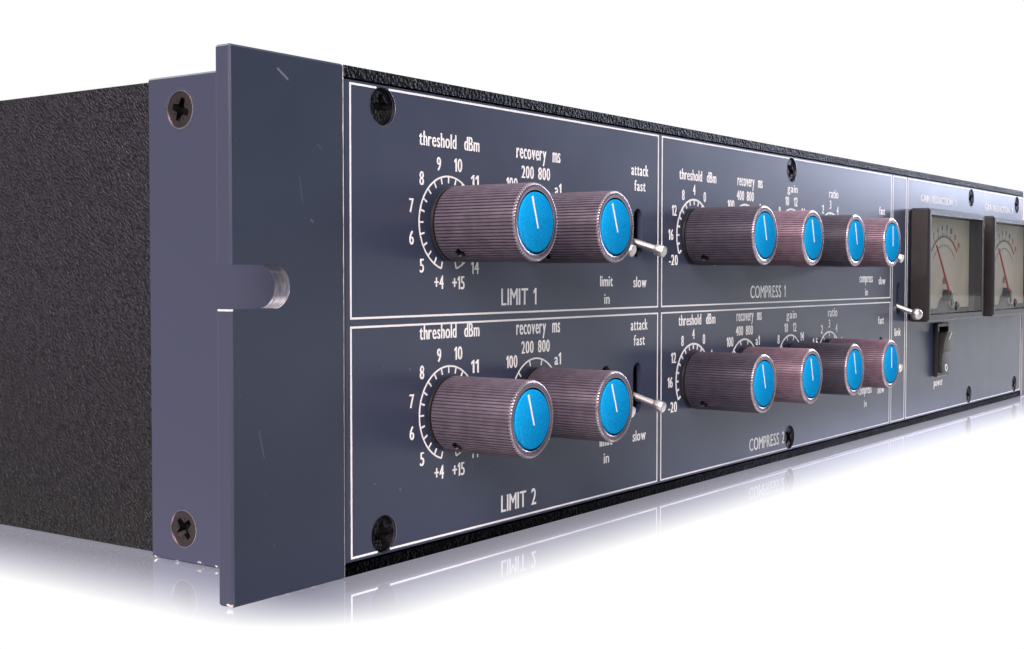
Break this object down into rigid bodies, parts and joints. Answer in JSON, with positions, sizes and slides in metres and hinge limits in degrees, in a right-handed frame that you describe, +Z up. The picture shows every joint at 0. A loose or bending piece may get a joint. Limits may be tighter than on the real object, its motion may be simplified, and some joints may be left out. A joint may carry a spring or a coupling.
{
  "type": "rack compressor",
  "caption": "Two-unit rack compressor and limiter with ribbed rotary knobs, toggle levers, needle meters, rack ears and rear sockets.",
  "frame": {"origin": "centre of the bounding box, on the underside", "axes": "+X to the right seen from the front, +Y from the front to the back, +Z up"},
  "size_m": [0.4826, 0.2834, 0.0881],
  "materials": {
    "slate_paint": "satin slate blue-grey enamel",
    "texture_paint": "black wrinkle-textured enamel",
    "grey_knob": "ribbed anodised tube, brown-grey",
    "mauve_knob": "ribbed anodised tube, mauve",
    "blue_cap": "moulded blue disc with a white pointer line",
    "bright_steel": "plated lever",
    "black_plastic": "moulded black plastic",
    "meter_lens": "clear acrylic",
    "needle_paint": "painted pointer",
    "socket_metal": "nickel-plated die casting",
    "board": "circuit board laminate with its parts",
    "winding": "taped ring winding"
  },
  "bodies": {
    "root": {"ear_bracket_left": "slate_paint", "side_plate_left": "texture_paint", "ear_bracket_right": "slate_paint", "side_plate_right": "texture_paint", "bottom_cover": "texture_paint", "top_cover": "texture_paint", "front_panel": "slate_paint", "rear_panel": "texture_paint", "power_switch_bezel": "black_plastic", "meter_1_case": "black_plastic", "meter_1_lens": "meter_lens", "meter_2_case": "black_plastic", "meter_2_lens": "meter_lens", "input_socket_1": "socket_metal", "input_socket_2": "socket_metal", "output_socket_1": "socket_metal", "output_socket_2": "socket_metal", "mains_inlet": "black_plastic", "fuse_holder": "black_plastic", "control_board": "board", "channel_card_1": "board", "channel_card_2": "board", "power_supply_board": "board", "mains_transformer": "winding"},
    "limit_threshold_1": {"limit_threshold_knob_1": "grey_knob", "limit_threshold_cap_1": "blue_cap"},
    "limit_recovery_1": {"limit_recovery_knob_1": "grey_knob", "limit_recovery_cap_1": "blue_cap"},
    "compress_threshold_1": {"compress_threshold_knob_1": "grey_knob", "compress_threshold_cap_1": "blue_cap"},
    "compress_recovery_1": {"compress_recovery_knob_1": "mauve_knob", "compress_recovery_cap_1": "blue_cap"},
    "compress_gain_1": {"compress_gain_knob_1": "grey_knob", "compress_gain_cap_1": "blue_cap"},
    "compress_ratio_1": {"compress_ratio_knob_1": "mauve_knob", "compress_ratio_cap_1": "blue_cap"},
    "limit_in_toggle_1": {"limit_in_lever_1": "bright_steel"},
    "limit_attack_toggle_1": {"limit_attack_lever_1": "bright_steel"},
    "compress_in_toggle_1": {"compress_in_lever_1": "bright_steel"},
    "compress_attack_toggle_1": {"compress_attack_lever_1": "bright_steel"},
    "limit_threshold_2": {"limit_threshold_knob_2": "grey_knob", "limit_threshold_cap_2": "blue_cap"},
    "limit_recovery_2": {"limit_recovery_knob_2": "grey_knob", "limit_recovery_cap_2": "blue_cap"},
    "compress_threshold_2": {"compress_threshold_knob_2": "grey_knob", "compress_threshold_cap_2": "blue_cap"},
    "compress_recovery_2": {"compress_recovery_knob_2": "mauve_knob", "compress_recovery_cap_2": "blue_cap"},
    "compress_gain_2": {"compress_gain_knob_2": "grey_knob", "compress_gain_cap_2": "blue_cap"},
    "compress_ratio_2": {"compress_ratio_knob_2": "mauve_knob", "compress_ratio_cap_2": "blue_cap"},
    "limit_in_toggle_2": {"limit_in_lever_2": "bright_steel"},
    "limit_attack_toggle_2": {"limit_attack_lever_2": "bright_steel"},
    "compress_in_toggle_2": {"compress_in_lever_2": "bright_steel"},
    "compress_attack_toggle_2": {"compress_attack_lever_2": "bright_steel"},
    "link_toggle": {"link_lever": "bright_steel"},
    "rocker": {"power_rocker": "black_plastic"},
    "meter_1_pointer": {"meter_1_needle": "needle_paint"},
    "meter_2_pointer": {"meter_2_needle": "needle_paint"}
  },
  "joints": [
    {"name": "limit_threshold_1_turn", "type": "hinge", "parent": "root", "child": "limit_threshold_1", "pos_m": [-0.1859, -0.1225, 0.0618], "axis": [0, 1, 0], "range_deg": [-150, 180]},
    {"name": "limit_recovery_1_turn", "type": "hinge", "parent": "root", "child": "limit_recovery_1", "pos_m": [-0.1567, -0.1225, 0.0618], "axis": [0, 1, 0], "range_deg": [-60, 90]},
    {"name": "compress_threshold_1_turn", "type": "hinge", "parent": "root", "child": "compress_threshold_1", "pos_m": [-0.0871, -0.1225, 0.0618], "axis": [0, 1, 0], "range_deg": [-105, 135]},
    {"name": "compress_recovery_1_turn", "type": "hinge", "parent": "root", "child": "compress_recovery_1", "pos_m": [-0.0581, -0.1225, 0.0618], "axis": [0, 1, 0], "range_deg": [-60, 90]},
    {"name": "compress_gain_1_turn", "type": "hinge", "parent": "root", "child": "compress_gain_1", "pos_m": [-0.0282, -0.1225, 0.0618], "axis": [0, 1, 0], "range_deg": [-150, 180]},
    {"name": "compress_ratio_1_turn", "type": "hinge", "parent": "root", "child": "compress_ratio_1", "pos_m": [0.0004, -0.1225, 0.0618], "axis": [0, 1, 0], "range_deg": [-60, 60]},
    {"name": "limit_in_toggle_1_flip", "type": "hinge", "parent": "root", "child": "limit_in_toggle_1", "pos_m": [-0.1288, -0.1143, 0.0618], "axis": [-1, 0, 0], "range_deg": [0, 34]},
    {"name": "limit_attack_toggle_1_flip", "type": "hinge", "parent": "root", "child": "limit_attack_toggle_1", "pos_m": [-0.1148, -0.1143, 0.0618], "axis": [-1, 0, 0], "range_deg": [0, 34]},
    {"name": "compress_in_toggle_1_flip", "type": "hinge", "parent": "root", "child": "compress_in_toggle_1", "pos_m": [0.0309, -0.1143, 0.0618], "axis": [-1, 0, 0], "range_deg": [0, 34]},
    {"name": "compress_attack_toggle_1_flip", "type": "hinge", "parent": "root", "child": "compress_attack_toggle_1", "pos_m": [0.0442, -0.1143, 0.0618], "axis": [-1, 0, 0], "range_deg": [0, 34]},
    {"name": "limit_threshold_2_turn", "type": "hinge", "parent": "root", "child": "limit_threshold_2", "pos_m": [-0.1859, -0.1225, 0.0261], "axis": [0, 1, 0], "range_deg": [-150, 180]},
    {"name": "limit_recovery_2_turn", "type": "hinge", "parent": "root", "child": "limit_recovery_2", "pos_m": [-0.1567, -0.1225, 0.0261], "axis": [0, 1, 0], "range_deg": [-60, 90]},
    {"name": "compress_threshold_2_turn", "type": "hinge", "parent": "root", "child": "compress_threshold_2", "pos_m": [-0.0871, -0.1225, 0.0261], "axis": [0, 1, 0], "range_deg": [-105, 135]},
    {"name": "compress_recovery_2_turn", "type": "hinge", "parent": "root", "child": "compress_recovery_2", "pos_m": [-0.0581, -0.1225, 0.0261], "axis": [0, 1, 0], "range_deg": [-60, 90]},
    {"name": "compress_gain_2_turn", "type": "hinge", "parent": "root", "child": "compress_gain_2", "pos_m": [-0.0282, -0.1225, 0.0261], "axis": [0, 1, 0], "range_deg": [-150, 180]},
    {"name": "compress_ratio_2_turn", "type": "hinge", "parent": "root", "child": "compress_ratio_2", "pos_m": [0.0004, -0.1225, 0.0261], "axis": [0, 1, 0], "range_deg": [-60, 60]},
    {"name": "limit_in_toggle_2_flip", "type": "hinge", "parent": "root", "child": "limit_in_toggle_2", "pos_m": [-0.1288, -0.1143, 0.0261], "axis": [-1, 0, 0], "range_deg": [0, 34]},
    {"name": "limit_attack_toggle_2_flip", "type": "hinge", "parent": "root", "child": "limit_attack_toggle_2", "pos_m": [-0.1148, -0.1143, 0.0261], "axis": [-1, 0, 0], "range_deg": [0, 34]},
    {"name": "compress_in_toggle_2_flip", "type": "hinge", "parent": "root", "child": "compress_in_toggle_2", "pos_m": [0.0309, -0.1143, 0.0261], "axis": [-1, 0, 0], "range_deg": [0, 34]},
    {"name": "compress_attack_toggle_2_flip", "type": "hinge", "parent": "root", "child": "compress_attack_toggle_2", "pos_m": [0.0442, -0.1143, 0.0261], "axis": [-1, 0, 0], "range_deg": [0, 34]},
    {"name": "link_toggle_flip", "type": "hinge", "parent": "root", "child": "link_toggle", "pos_m": [0.0607, -0.1143, 0.04405], "axis": [-1, 0, 0], "range_deg": [0, 40]},
    {"name": "power_rocker_tilt", "type": "hinge", "parent": "root", "child": "rocker", "pos_m": [0.1037, -0.1189, 0.0252], "axis": [-1, 0, 0], "range_deg": [0, 14]},
    {"name": "meter_1_swing", "type": "hinge", "parent": "root", "child": "meter_1_pointer", "pos_m": [0.1023, -0.1262, 0.0449], "axis": [0, 1, 0], "range_deg": [0, 84], "stiffness_Nm_per_rad": 0.001},
    {"name": "meter_2_swing", "type": "hinge", "parent": "root", "child": "meter_2_pointer", "pos_m": [0.1791, -0.1262, 0.0449], "axis": [0, 1, 0], "range_deg": [0, 84], "stiffness_Nm_per_rad": 0.001}
  ]
}
